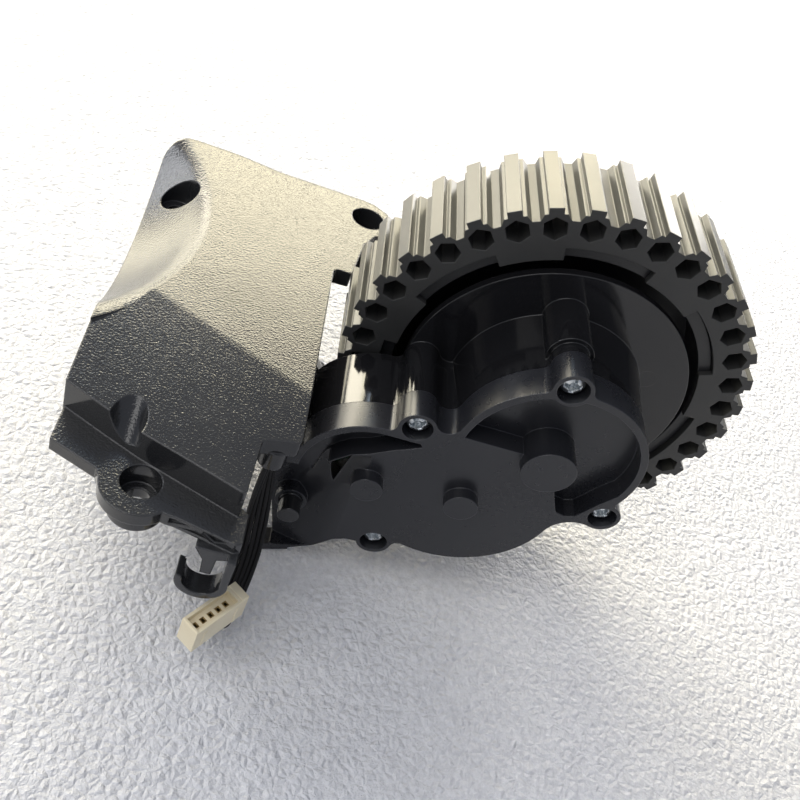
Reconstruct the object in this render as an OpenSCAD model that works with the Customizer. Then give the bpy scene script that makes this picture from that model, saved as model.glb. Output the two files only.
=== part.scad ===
// Side wheel module of a floor cleaning robot: a mounting bracket, and a swinging
// arm that holds a flat motor, a two stage gearbox and the driven wheel.
// Lengths are in millimetres. The drawing datum is the wheel centre on the near
// face of the tyre: X runs from the bracket to the wheel, Y runs along the wheel
// axis away from the gearbox, and Z is up. place() moves the datum to the seat of
// the front mounting screw.

/* [Wheel] */
// Radius over the tips of the tread lugs
tyre_r = 35.5; // [34:0.5:36]
// Width of the tyre along its axis
tyre_w = 16.45; // [14:0.05:17]
// Number of tread lugs, each with one hollow cell under it
lug_count = 36; // [24:1:40]
// Height of the narrow rib on top of each lug
rib_h = 1.1; // [0.8:0.1:1.4]
// Radius at the bottom of the valleys between the lugs
valley_r = 33.3; // [32.8:0.1:33.6]
// Width across the flats of the hexagonal cells
cell_af = 3.5; // [2.5:0.1:3.8]
// Outer radius of the wheel rim, on which the tyre sits
rim_r = 28.4; // [28:0.1:28.6]

/* [Gear train] */
// Teeth on the motor pinion
pinion_teeth = 13; // [13:1:14]
// Teeth on the large wheel of the idler
idler_teeth = 51; // [50:1:51]
// Teeth on the small wheel of the idler
idler_small_teeth = 11; // [11:1:12]
// Teeth on the output gear
output_teeth = 44; // [43:1:44]
// Gap between working tooth flanks, measured along the pitch circle
backlash = 0.14; // [0.1:0.01:0.2]

/* [Gearbox] */
// Outer radius of the round gearbox drum around the wheel axis
drum_r = 15.65; // [15.4:0.05:16]
// Outer radius of the motor shell
motor_shell_r = 12.8; // [12.6:0.1:13]
// Radius of the disc that closes the open side of the wheel
disc_r = 24.45; // [23:0.05:24.6]
// Wall thickness of the gearbox mouldings
wall = 1.5; // [1.3:0.1:1.5]
// Radius of the lobes that hold the four cover screws
lobe_r = 3.1; // [3:0.1:3.4]

/* [Bracket] */
// Height of the top of the bracket plate
plate_z = -3; // [-3.5:0.1:-2.5]
// Thickness of the bracket plate
plate_t = 3.2; // [2.6:0.1:3.4]
// Slope of the front strip of the plate, in degrees
strip_slope = 5; // [3:0.5:6]
// Height of the top of the front mounting flange
flange_z = -10.5; // [-11:0.1:-10]
// Radius of the pivot pin of the arm
pivot_r = 2.1; // [1.9:0.05:2.2]

/* [Hidden] */
$fn = 96;
eps = 0.05;

// Places in the XZ plane, as seen from the gearbox side
idler_at = [-9.5, -13.5];
motor_at = [-25.4, -15];
pivot_at = [-35.6, -26.7];
spring_horn_at = [-42, -12.8];
spring_post_at = [-66, -14.5];
// The four cover screws
screw_at = [[-21.8, -0.4], [-3.4, 15.8], [14.3, -9], [-19.3, -30.6]];

// Levels along the wheel axis
face_y = -18.1;
floor_y = -14.4;
boss_y = -20.2;
seam_y = -12.6;
disc_y = -0.9;
disc_t = 1.4;

// Places of the mounting holes in the XY plane
front_hole_at = [-59.3, -32.9];
left_hole_at = [-68.7, 30];
right_hole_at = [-33.6, 36.8];
seat_z = -16.7;
rear_seat_z = -13;
screw_hole_r = 1.75;
head_well_r = 3;

// Moves the drawing datum to the seat of the front mounting screw
module place() {
    translate([-front_hole_at[0], -front_hole_at[1], -seat_z]) children();
}

// Extrudes a profile drawn in the XZ plane from y0 to y1
module along_y(y0, y1) {
    translate([0, y1, 0]) rotate([90, 0, 0]) linear_extrude(y1 - y0) children();
}

// A round rod or boss along Y, at a place in the XZ plane
module rod_y(r, y0, y1, at = [0, 0]) {
    translate([at[0], y1, at[1]]) rotate([90, 0, 0]) cylinder(r = r, h = y1 - y0);
}

// A round rod or boss along Z, at a place in the XY plane
module rod_z(r, z0, z1, at = [0, 0]) {
    translate([at[0], at[1], z0]) cylinder(r = r, h = z1 - z0);
}

function polar(r, a) = [r * cos(a), r * sin(a)];
function unit(v) = v / norm(v);
function side_turn(v) = [-v[1], v[0]];

// Moves every side of a clockwise outline inwards by d
function inset(pts, d) = [
    for (i = [0:len(pts) - 1])
        let (n = len(pts),
             n1 = side_turn(unit(pts[i] - pts[(i + n - 1) % n])),
             n2 = side_turn(unit(pts[(i + 1) % n] - pts[i])))
        pts[i] - d * (n1 + n2) / (1 + n1 * n2)];

// Rounds the corners of an outline. Each point is [x, y, radius]
round_steps = 4;
function corner_arc(a, b, c, r) =
    let (u = unit(a - b), v = unit(c - b),
         half = acos(max(-1, min(1, u * v))) / 2,
         centre = b + unit(u + v) * r / sin(half),
         from = b + u * r / tan(half) - centre,
         to = b + v * r / tan(half) - centre)
    [for (i = [0:round_steps]) centre + r * unit(from * (round_steps - i) + to * i)];
function rounded(pts) = [
    for (i = [0:len(pts) - 1])
        let (n = len(pts), a = pts[(i + n - 1) % n], b = pts[i], c = pts[(i + 1) % n])
        each (b[2] == 0 ? [[b[0], b[1]]]
            : corner_arc([a[0], a[1]], [b[0], b[1]], [c[0], c[1]], b[2]))];

// Centre of a round of radius f that touches two circles, left of the way from a to b
function round_centre(a, ra, b, rb, f) =
    let (d = norm(b - a), u = unit(b - a), p = ra + f, q = rb + f,
         along = (p * p - q * q + d * d) / (2 * d),
         aside = sqrt(p * p - along * along))
    a + along * u + aside * side_turn(u);

// Points of an arc about c from the bearing of p to the bearing of q.
// turn is 1 against the clock and -1 with it. skip leaves out both ends
arc_step = 7;
function bearing_of(v) = atan2(v[1], v[0]);
function wrap(a) = a - 360 * floor(a / 360);
function arc_points(c, r, p, q, turn, skip = 0) =
    let (a = bearing_of(p - c), sweep = wrap(turn * (bearing_of(q - c) - a)),
         n = max(2, ceil(sweep / arc_step)))
    [for (i = [skip:n - skip]) c + polar(r, a + turn * sweep * i / n)];

// Spur gear teeth
pressure_angle = 25;
flank_steps = 3;
function base_r(m, z) = m * z / 2 * cos(pressure_angle);
function involute_turn(rb, r) =
    r <= rb ? 0 : let (t = sqrt(r * r / (rb * rb) - 1)) t * 180 / PI - atan(t);
// Half the angle that a tooth fills at radius r
function half_tooth(m, z, r) =
    let (rp = m * z / 2, rb = base_r(m, z), at_pitch = 90 / z - backlash / 2 / rp * 90 / PI)
    at_pitch + involute_turn(rb, rp) - involute_turn(rb, r);
function flank_r(m, z, i) =
    let (low = max(base_r(m, z), m * z / 2 - 0.9 * m), high = m * z / 2 + 0.85 * m)
    low + (high - low) * i / flank_steps;
function tooth(m, z, a) = concat(
    [polar(m * z / 2 - 1.15 * m, a - half_tooth(m, z, flank_r(m, z, 0)))],
    [for (i = [0:flank_steps]) polar(flank_r(m, z, i), a - half_tooth(m, z, flank_r(m, z, i)))],
    [for (i = [flank_steps:-1:0]) polar(flank_r(m, z, i), a + half_tooth(m, z, flank_r(m, z, i)))],
    [polar(m * z / 2 - 1.15 * m, a + half_tooth(m, z, flank_r(m, z, 0)))]);
// A gear profile with one tooth centred at the angle start
module gear_2d(m, z, start) {
    polygon([for (i = [0:z - 1]) each tooth(m, z, start + i * 360 / z)]);
}
to_motor = bearing_of(motor_at - idler_at);
to_idler = bearing_of(idler_at);
stage1_module = 2 * norm(motor_at - idler_at) / (pinion_teeth + idler_teeth);
stage2_module = 2 * norm(idler_at) / (idler_small_teeth + output_teeth);

// Tyre
shoulder_r = tyre_r - rib_h;
cell_r = 31.9;
rib_half_a = 1.85;
shoulder_half_a = 2.9;
foot_half_a = 3.9;
lug_start = 1.6;
tab_count = 7;
tab_span = 21.4;
tab_inner_r = 26.25;
tab_depth = 1.2;

function lug_points(a) = [
    polar(valley_r, a - foot_half_a), polar(shoulder_r, a - shoulder_half_a),
    polar(shoulder_r, a - rib_half_a), polar(tyre_r, a - rib_half_a),
    polar(tyre_r, a + rib_half_a), polar(shoulder_r, a + rib_half_a),
    polar(shoulder_r, a + shoulder_half_a), polar(valley_r, a + foot_half_a)];

module tyre() {
    color("#26272a") difference() {
        union() {
            along_y(0, tyre_w) difference() {
                polygon([for (i = [0:lug_count - 1]) each lug_points(lug_start + i * 360 / lug_count)]);
                circle(rim_r + 0.1);
            }
            along_y(0, tab_depth) tyre_tabs();
        }
        for (i = [0:lug_count - 1])
            along_y(-eps, tyre_w + eps) translate(polar(cell_r, lug_start + i * 360 / lug_count))
                rotate(lug_start + i * 360 / lug_count) circle(r = cell_af / 2 / cos(30), $fn = 6);
    }
}

// Seven tabs of the tyre that lap over the edge of the rim
module tyre_tabs() {
    for (i = [0:tab_count - 1]) difference() {
        rotate(67.3 + i * 360 / tab_count) intersection() {
            circle(rim_r + 0.4);
            polygon([[0, 0], polar(40, -tab_span / 2), polar(40, tab_span / 2)]);
        }
        circle(tab_inner_r);
    }
}

// Rim: a cup that opens towards the gearbox. Its far side is a web with shallow pockets
web_y0 = 12.4;
rim_y1 = 15.6;
hub_r = 6;
axle_r = 2.5;
web_y1 = rim_y1 - 0.8;
pocket_floor_y = 13.5;
spoke_count = 7;
module wheel_rim() {
    color("#2b2c2e") difference() {
        union() {
            along_y(tab_depth, rim_y1) difference() {
                circle(rim_r);
                circle(tab_inner_r);
            }
            rod_y(rim_r - 1, web_y0, web_y1);
            rod_y(hub_r, 6, rim_y1);
        }
        for (i = [0:spoke_count - 1]) along_y(pocket_floor_y, rim_y1 + eps) rotate(i * 360 / spoke_count)
            web_pocket();
        along_y(6 - eps, rim_y1 + eps) double_flat(axle_r + 0.03, 0.03);
        rod_y(4.2, rim_y1 - 1.2, rim_y1 + eps);
    }
}

// Pocket between two ribs of the web, a ring sector with straight sides
module web_pocket() {
    difference() {
        intersection() {
            circle(23.5);
            polygon([polar(3, 0), polar(40, -17), polar(40, 17)]);
        }
        circle(10);
    }
}

// Round bar with two flats, the drive end of the axle
module double_flat(r, gap) {
    intersection() {
        circle(r);
        square([2 * r + 1, 2 * (1.9 + gap)], center = true);
    }
}

module axle_shaft() {
    color("#b9bcc0") difference() {
        union() {
            rod_y(2, boss_y + 1.1, seam_y);
            rod_y(axle_r, seam_y, 5.8);
            along_y(5.8, rim_y1 - 1.3) double_flat(axle_r, 0);
        }
        rod_y(1.2, 7, rim_y1);
    }
}

output_y0 = -8.9;
output_y1 = -3.4;
module output_gear() {
    color("#e6e2d2") difference() {
        union() {
            along_y(output_y0, output_y1) gear_2d(stage2_module, output_teeth,
                to_idler + 180 / output_teeth);
            rod_y(4.6, output_y0 - 1.6, output_y1 + 0.3);
        }
        rod_y(axle_r, output_y0 - 2, output_y1 + 1);
        for (y = [output_y0 - eps, output_y1 - 1.5]) along_y(y, y + 1.5 + eps) difference() {
            circle(11.2);
            circle(5.6);
        }
    }
}

module wheel_washer() {
    color("#c9cbce") difference() {
        rod_y(4.1, rim_y1 - 1.2, rim_y1 - 0.4);
        rod_y(1.6, rim_y1 - 2, rim_y1);
    }
}

module wheel_screw() {
    color("#c9cbce") difference() {
        union() {
            rod_y(2.8, rim_y1 - 0.4, rim_y1 + 1);
            rod_y(1.15, 9, rim_y1 - 0.3);
        }
        cross_slot(rim_y1 + 0.1, rim_y1 + 1.1, [0, 0]);
    }
}

// Cross recess of a screw head
module cross_slot(y0, y1, at) {
    for (a = [0, 90]) translate([at[0], 0, at[1]]) along_y(y0, y1) rotate(a + 20)
        square([2.6, 0.7], center = true);
}

// Outline of the gearbox, clockwise. d moves it inwards and dr is the drum radius
idler_case_r = 16.6;
valley_round = 2;
arm_top_z = -10.9;
function touch(a, ra, b, rb, f, d) = round_centre(a, ra - d, b, rb - d, f + d);
function level_point(at, r, z, side) = [at[0] + side * sqrt(r * r - (z - at[1]) * (z - at[1])), z];
function gearbox_line(d = 0, dr = drum_r) =
    let (s1 = screw_at[0], s2 = screw_at[1], s3 = screw_at[2], s4 = screw_at[3], wheel = [0, 0],
         lr = lobe_r - d,
         f1 = touch(motor_at, motor_shell_r, s1, lobe_r, 1.2, d),
         f2 = touch(s1, lobe_r, wheel, dr, valley_round, d),
         f3 = touch(wheel, dr, s2, lobe_r, 1.5, d),
         f4 = touch(s2, lobe_r, wheel, dr, 1.5, d),
         f5 = touch(wheel, dr, s3, lobe_r, 1, d),
         f6 = touch(s3, lobe_r, idler_at, idler_case_r, 5, d),
         f7 = touch(idler_at, idler_case_r, s4, lobe_r, 1.6, d),
         arm = inset(arm_end, d))
    concat(
        [for (i = [2:len(arm) - 3]) arm[i]],
        arc_points(motor_at, motor_shell_r - d,
            level_point(motor_at, motor_shell_r - d, arm_top_z - d, -1), f1, -1),
        arc_points(f1, 1.2 + d, motor_at, s1, 1, 1),
        arc_points(s1, lr, f1, f2, -1),
        arc_points(f2, valley_round + d, s1, wheel, 1, 1),
        arc_points(wheel, dr - d, f2, f3, -1),
        arc_points(f3, 1.5 + d, wheel, s2, 1, 1),
        arc_points(s2, lr, f3, f4, -1),
        arc_points(f4, 1.5 + d, s2, wheel, 1, 1),
        arc_points(wheel, dr - d, f4, f5, -1),
        arc_points(f5, 1 + d, wheel, s3, 1, 1),
        arc_points(s3, lr, f5, f6, -1),
        arc_points(f6, 5 + d, s3, idler_at, 1, 1),
        arc_points(idler_at, idler_case_r - d, f6, f7, -1),
        arc_points(f7, 1.6 + d, idler_at, s4, 1, 1),
        arc_points(s4, lr, f7, s4 - [2.9, 1.1], -1));

// Outline of the arm around its pivot, clockwise
arm_end = rounded([
    [-19.5, -24, 0], [-21.6, -31.4, 0], [-24.2, -31.8, 2], [-26.2, -32.8, 2], [-28.9, -35.9, 4],
    [-33.1, -38.5, 8], [-36.1, -39.9, 0.8], [-41.4, -18.6, 3], [-39.4, -15.4, 3],
    [-38.6, arm_top_z, 1.2], [-32, arm_top_z, 0], [-26, -16, 0]]);

// Cover
hood_r = stage1_module * idler_teeth / 2 + 0.85 * stage1_module + 0.25;
hood_wall = 0.7;
step_z = idler_at[1] + hood_r + hood_wall;
rim_t = 1.25;
boss_r = 4.45;
stub1_r = 2.9;
stub2_r = 2.7;
collar_r = 2.75;
pivot_tube_r = 3.8;
pin_bore_r = pivot_r + 0.05;
screw_bore_r = 1.05;
screw_well_r = 2.45;
screw_seat_y = -15.4;
bush_y0 = boss_y + 1.05;
bush_y1 = -16.9;
bush_r = 3.3;

// Areas of the cover face that lie at floor level
rim_inner_r = drum_r - rim_t;
recess = concat(
    arc_points([0, 0], rim_inner_r, level_point([0, 0], rim_inner_r, step_z, -1), [14, -3], -1),
    [[12.2, -6], [11, -8.4], [9.9, -10.4], [8.4, -11], [6.5, -10.6], [4.9, -7.7], [3.6, -5.2],
    [0.5, step_z]]);
channel = concat(
    [[-36.4, -19.5], [-37, -17]],
    arc_points(motor_at, motor_shell_r - rim_t, motor_at - [10, 0.4], motor_at + [-0.6, 10], -1),
    [[-20.2, -3.4], [-19.6, -4.1], [-20.6, -4.7], [-23.9, -6.6], [-26.9, -8.7], [-29.8, -10.1],
    [-31.8, -12], [-33, -13.8], [-33.5, -16.1], [-33.9, -19.5]]);
arm_floor = [
    [-45, -38.5], [-45, -15.6], [-37.1, -15.6], [-33.1, -13.7], [-29.6, -10.1], [-26.4, -9.2],
    [-24.9, -30.8], [-26.7, -33], [-28.1, -34.6], [-31.2, -36.9], [-35.2, -38.5]];
// The arm floor rises to the cover face along a ramp
ramp_x0 = -34.4;
ramp_x1 = -27.2;
ramp_turn = 8;
function ramp_at(y) = [ramp_x0 + (ramp_x1 - ramp_x0) * (y - floor_y) / (face_y - floor_y), y];
module ramp_space() {
    translate([0, 0, -20]) rotate([0, ramp_turn, 0]) translate([0, 0, -30]) linear_extrude(60)
        polygon([[-60, face_y - 3], ramp_at(face_y - 3), ramp_at(floor_y + 2), [-60, floor_y + 2]]);
}

// Hollow behind the cover floor and in the housing
arm_hollow = [
    [-26.6, -31.3], [-29.9, -34.9], [-34.9, -37.4], [-39.7, -18.5], [-37.6, -15], [-37.2, -12.6],
    [-30, -12.6], [-23, -27]];
module inside_block(y0, y1) {
    rod_y(idler_case_r - wall, y0, y1, idler_at);
    rod_y(motor_room_r, y0, y1, motor_at);
    rod_y(gear_room_r, y0, y1);
    difference() {
        along_y(y0, y1) polygon(arm_hollow);
        rod_y(pivot_tube_r, y0 - 1, y1 + 1, pivot_at);
    }
}
motor_room_r = 11.25;
gear_room_r = stage2_module * (output_teeth / 2 + 0.85) + 0.35;

module gearbox_cover() {
    color("#3a3b3d") difference() {
        union() {
            difference() {
                along_y(face_y, seam_y) polygon(gearbox_line());
                along_y(face_y - 1, floor_y) polygon(recess);
                along_y(face_y - 1, floor_y) polygon(channel);
                intersection() {
                    along_y(face_y - 1, floor_y) polygon(arm_floor);
                    ramp_space();
                }
            }
            for (at = screw_at) rod_y(lobe_r - 0.05, face_y, floor_y + eps, at);
            along_y(face_y, floor_y + eps) polygon([[-36, -38.6], [-33, -37.6], [-33, -39], [-37.4, -40.9],
                [-38, -40.3], [-37.6, -39.3]]);
            rod_y(boss_r, boss_y, floor_y);
            rod_y(stub1_r, boss_y, floor_y, idler_at);
            rod_y(stub2_r, boss_y - 0.1, floor_y, motor_at);
            rod_y(collar_r, floor_y - 2.4, floor_y + eps, pivot_at);
        }
        inside_block(floor_y + wall, seam_y + eps);
        rod_y(hood_r, face_y + wall, seam_y + eps, idler_at);
        rod_y(6.2, face_y + wall, seam_y + eps, motor_at);
        rod_y(bush_r, bush_y0, bush_y1);
        rod_y(2.6, bush_y1 - eps, seam_y);
        rod_y(1.52, boss_y + 0.9, face_y + wall, idler_at);
        rod_y(1.05, boss_y + 0.9, face_y + wall, motor_at);
        rod_y(pin_bore_r, face_y - 1, seam_y + 1, pivot_at);
        for (at = screw_at) {
            rod_y(screw_well_r, face_y - eps, screw_seat_y, at);
            rod_y(screw_bore_r, screw_seat_y - eps, seam_y + eps, at);
        }
    }
}

// Housing: the deep rear shell, with the disc that closes the wheel
drum_r_rear = 16.4;
drum_r_seam = 15.4;
back_y = -2.4;
hub_tube_r = 6.2;
hub_y1 = 5.4;
idler_stop_y = -2.9;
module gearbox_housing() {
    color("#1d1d20") difference() {
        union() {
            along_y(seam_y, disc_y) polygon(gearbox_line(0.15, drum_r_seam));
            translate([0, disc_y, 0]) rotate([90, 0, 0])
                cylinder(r1 = drum_r_rear, r2 = drum_r_seam, h = disc_y - seam_y);
            rod_y(lobe_r + 0.6, -10.5, disc_y, screw_at[1]);
            rod_y(disc_r, disc_y, disc_y + disc_t);
            rod_y(hub_tube_r, disc_y, hub_y1);
            spring_horn();
        }
        inside_block(seam_y - eps, back_y);
        rod_y(4.2, -1.4, hub_y1 + eps);
        rod_y(2.8, back_y - eps, 0);
        rod_y(pin_bore_r, seam_y - 1, 2, pivot_at);
        rod_y(1.52, -3, disc_y - 0.6, idler_at);
        for (at = screw_at) rod_y(screw_bore_r, seam_y - eps, -5.5, at);
        rod_y(1.2, -8, -4, spring_horn_at);
        wire_exit();
    }
    color("#1d1d20") difference() {
        rod_y(3, idler_stop_y, back_y + eps, idler_at);
        rod_y(1.52, -5, 0, idler_at);
    }
}

// Ear that the suspension spring pulls on
module spring_horn() {
    along_y(-7.2, -4.8) {
        translate(spring_horn_at) circle(2.4);
        translate(spring_horn_at) polygon([[0, 2.2], [4, 1.7], [4, -4.8], [-1.2, -2]]);
    }
}

// Slot in the wall of the arm for the motor and encoder wires
module wire_exit() {
    translate([-43, -11.2, -25.6]) cube([5, 2.4, 4]);
}

// Head and shank of each cover screw
module gearbox_screws() {
    color("#c3c6ca") for (at = screw_at) difference() {
        union() {
            rod_y(1.85, face_y + 1, screw_seat_y, at);
            rod_y(screw_bore_r - 0.05, screw_seat_y - eps, -6.5, at);
        }
        cross_slot(face_y + 0.9, face_y + 2.1, at);
    }
}

// Motor
can_y0 = -10.8;
can_y1 = -2.7;
can_r = 11.1;
module motor_can() {
    color("#b4b7bb") difference() {
        rod_y(can_r, can_y0, can_y1, motor_at);
        rod_y(can_r - 0.8, can_y0 - eps, can_y1 - 0.8, motor_at);
        rod_y(1.03, can_y1 - 1, can_y1 + eps, motor_at);
    }
}
module motor_end_cap() {
    color("#d8d4c6") difference() {
        union() {
            rod_y(can_r - 0.85, can_y0, can_y0 + 1.6, motor_at);
            rod_y(2.6, can_y0 - 0.5, can_y0 + eps, motor_at);
        }
        rod_y(1.03, can_y0 - 1, can_y0 + 2, motor_at);
    }
}
module motor_terminals() {
    color("#caa24a") for (a = [60, 300]) translate([motor_at[0], 0, motor_at[1]]) rotate([0, -a, 0])
        translate([8, can_y0 - 1.1, -0.9]) cube([0.4, 1.1, 1.8]);
}
module motor_shaft() {
    color("#b9bcc0") rod_y(1, boss_y + 1, can_y1, motor_at);
}
pinion_y0 = -16.3;
pinion_y1 = -13.9;
module motor_pinion() {
    color("#b08d4c") difference() {
        translate([motor_at[0], 0, motor_at[1]]) along_y(pinion_y0, pinion_y1)
            gear_2d(stage1_module, pinion_teeth, to_motor + 180);
        rod_y(1.01, pinion_y0 - 1, pinion_y1 + 1, motor_at);
    }
}
module encoder_magnet() {
    color("#5a5c60") difference() {
        rod_y(3, -13.2, -12.1, motor_at);
        rod_y(1.01, -14, -12, motor_at);
    }
}
module encoder_board() {
    color("#2f6b3f") {
        along_y(-11.65, -10.85) translate(motor_at) intersection() {
            difference() {
                circle(9.8);
                circle(3.6);
            }
            polygon([[0, 0], polar(16, 145), polar(18, 180), polar(16, 225)]);
        }
        translate([motor_at[0] - 5.6, -12.9, motor_at[1] - 0.9]) cube([1.6, 1.3, 1.8]);
    }
}

// Idler: a large and a small wheel in one piece, turning on a fixed shaft
module idler_gear() {
    color("#ece8da") translate([idler_at[0], 0, idler_at[1]]) difference() {
        union() {
            along_y(pinion_y0, pinion_y1 - 0.2) gear_2d(stage1_module, idler_teeth,
                to_motor + 180 / idler_teeth);
            along_y(pinion_y1 - 0.3, output_y1 + 0.3) circle(2.6);
            along_y(output_y0 - 0.4, output_y1 + 0.1) gear_2d(stage2_module, idler_small_teeth,
                to_idler + 180);
        }
        rod_y(1.55, pinion_y0 - 1, 0);
        for (y = [pinion_y0 - eps, pinion_y1 - 0.9]) along_y(y, y + 0.75) difference() {
            circle(11);
            circle(4.2);
        }
    }
}
module idler_shaft() {
    color("#b9bcc0") rod_y(1.5, boss_y + 1, -1.6, idler_at);
}
module front_bush() {
    color("#9c7a3c") difference() {
        rod_y(bush_r - 0.02, bush_y0, bush_y1);
        rod_y(2.03, bush_y0 - 1, bush_y1 + 1);
    }
}
module rear_bush() {
    color("#9c7a3c") difference() {
        rod_y(4.18, -1.4, hub_y1 - 0.2);
        rod_y(axle_r + 0.03, -2, hub_y1 + 1);
    }
}

// Pivot of the arm. The pin's free end is turned down where it stands out of the cover
pin_end_y = boss_y + 3.4;
module pivot_pin() {
    color("#b9bcc0") difference() {
        union() {
            rod_y(pivot_r, pin_end_y, 15.6, pivot_at);
            rod_y(pivot_r - 0.2, boss_y, pin_end_y + eps, pivot_at);
        }
        difference() {
            rod_y(pivot_r + 1, 14.4, 14.9, pivot_at);
            rod_y(pivot_r - 0.45, 14, 15, pivot_at);
        }
    }
}
module pivot_clip() {
    color("#8d9094") translate([pivot_at[0], 0, pivot_at[1]]) along_y(14.4, 14.9) difference() {
        circle(4);
        circle(pivot_r - 0.4);
        translate([0, -3]) square([1.9, 6], center = true);
    }
}

// Suspension spring, a wire swept along a coil between two end loops
wire_r = 0.4;
coil_r = 2.1;
coil_turns = 14;
coil_steps = 12;
spring_y = -6;
spring_run = spring_horn_at - spring_post_at;
coil_start = 4.2;
coil_len = norm(spring_run) - coil_start - 5.6;
loop_r = 2.1;
// Points in the frame of the spring: along it, along the pivot axis, and across both
post_loop = [for (a = [50:18:320]) [loop_r * cos(a), 0, loop_r * sin(a)]];
horn_loop = [for (a = [-165:18:140])
    [norm(spring_run) - loop_r + loop_r * cos(a), loop_r * sin(a), 0]];
coil = [for (i = [0:coil_turns * coil_steps])
    let (a = 180 + 360 * i / coil_steps)
    [coil_start + coil_len * i / (coil_turns * coil_steps), coil_r * sin(a), coil_r * cos(a)]];
module suspension_spring() {
    color("#a9adb2") translate([spring_post_at[0], spring_y, spring_post_at[1]])
        rotate([0, -bearing_of(spring_run), 0])
            swept_wire(concat(post_loop, coil, horn_loop), wire_r, 6);
}

// Tube of n sides along a route of points
function along_at(p, i) =
    unit(p[min(i + 1, len(p) - 1)] - p[max(i - 1, 0)]);
function across(v, t) = unit(v - (v * t) * t);
// Side directions carried along the route without twist
function sides_of(p) = [
    for (i = 0, u = across([0.3, 0.5, 0.8], along_at(p, 0)); i < len(p);
        u = across(u, along_at(p, min(i + 1, len(p) - 1))), i = i + 1) u];
module swept_wire(p, r, n) {
    sides = sides_of(p);
    rings = [for (i = [0:len(p) - 1])
        let (u = sides[i], v = cross(along_at(p, i), u))
        for (k = [0:n - 1]) p[i] + r * (cos(k * 360 / n) * u + sin(k * 360 / n) * v)];
    last = (len(p) - 1) * n;
    polyhedron(
        points = rings,
        faces = concat(
            [[for (k = [0:n - 1]) k]],
            [[for (k = [n - 1:-1:0]) last + k]],
            [for (i = [0:len(p) - 2], k = [0:n - 1])
                [i * n + k, (i + 1) * n + k, (i + 1) * n + (k + 1) % n, i * n + (k + 1) % n]]));
}

// Cable: the bundle of five wires from the guide under the tongue to the plug
cable_r = 1.3;
cable_top = [-41.9, -22.9, -10.4];
plug_at = [-43.8, -40, -27];
plug_turn = 51.9;
plug_size = [10.5, 3.4, 5.6];
cable_route = [
    cable_top, [-41.8, -23, -14], [-41.5, -23.3, -18], [-41.1, -23.9, -22], [-40.7, -24.9, -26],
    [-40.4, -26.5, -29.8], [-40.5, -28.7, -33.2], [-41, -31.4, -35.9], [-41.8, -34.5, -37.2],
    [-42.7, -37.4, -36.8], [-43.5, -39.4, -35.4], [-43.8, -40, -33.7], [-43.8, -40, -32.62]];
module cable() {
    color("#18181a") swept_wire(cable_route, cable_r, 8);
}
module plug_frame() {
    translate(plug_at) rotate([0, 0, plug_turn]) children();
}
contact_pitch = 1.5;
contact_count = 5;
first_contact = -3.9;
module plug_housing() {
    color("#e9e2cb") plug_frame() difference() {
        translate([-plug_size[0] / 2, -plug_size[1] / 2, -plug_size[2]]) cube(plug_size);
        translate([-plug_size[0] / 2 + 0.5, -plug_size[1] / 2 + 0.5, -1.2])
            cube([plug_size[0] - 2.4, plug_size[1] - 1, 2]);
        for (i = [0:contact_count - 1]) translate([first_contact + i * contact_pitch, 0, -4.4])
            cube([0.9, 1, 8], center = true);
        translate([plug_size[0] / 2 - 1, -0.5, -1.6]) cube([2, 1, 2]);
    }
}
module plug_contacts() {
    color("#c9a860") plug_frame() for (i = [0:contact_count - 1])
        translate([first_contact + i * contact_pitch, 0, -3]) difference() {
            cube([0.84, 0.94, 3.4], center = true);
            translate([0, 0, 0.4]) cube([0.5, 0.6, 3.4], center = true);
        }
}

// Bracket. The front strip slopes down beyond a line from bend_a to bend_b
bend_a = [-67.2, -0.4];
bend_b = [-37.1, -15.1];
bend_u = unit(bend_b - bend_a);
plate_under = plate_z - plate_t;
flange_t = 2.4;
flange_under = flange_z - flange_t;
left_x = -73.4;
well_x = -38.5;
ear_y = 18.2;
wall_end_x = -44.8;
skirt_z = -26;

// Outline of the whole top of the bracket, clockwise
top_line = rounded([
    [left_x, -22.8, 0], [left_x - 1, 44.7, 5], [-60.8, 44.3, 30], [-52.4, 42.9, 20], [-28, 42.4, 7],
    [-28, 34, 1], [-31.8, 31.6, 0], [-33.6, 28, 0], [-35.1, ear_y, 0.5], [well_x, ear_y, 1],
    [well_x, -24.1, 0.8], [-44.3, -25.1, 0.6],
    [wall_end_x, -35, 0.6], [-52, -32.2, 8], [-60.7, -28.9, 0], [-66.9, -26, 0]]);
bend_line = [[left_x, -22.8], [-66.9, -26], [-60.7, -28.9], [-52, -32.2], [wall_end_x, -34.9]];

module slab_z(z0, z1) {
    translate([0, 0, z0]) linear_extrude(z1 - z0) children();
}
// Section of the bent sheet across the bend: flat behind it, sloping in front of it
function bent(z) = [
    for (i = [0:bend_steps])
        let (a = strip_slope * i / bend_steps)
        [bend_round * (tan(strip_slope / 2) - sin(a)), z - bend_round * (1 - cos(a))]];
bend_round = 16;
bend_steps = 4;
sheet_reach = 70;
function slope_end(z) = [-sheet_reach, z - sheet_reach * tan(strip_slope)];
module plate() {
    intersection() {
        slab_z(plate_z - 12, plate_z + 1) polygon(top_line);
        translate([bend_a[0], bend_a[1], 0]) rotate([0, 0, bearing_of(bend_u)])
            translate([-60, 0, 0]) rotate([90, 0, 90]) linear_extrude(140)
                polygon(concat([[sheet_reach, plate_z]], bent(plate_z), [slope_end(plate_z)],
                    [slope_end(plate_under)], [for (i = [bend_steps:-1:0]) bent(plate_under)[i]],
                    [[sheet_reach, plate_under]]));
    }
}

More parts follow.
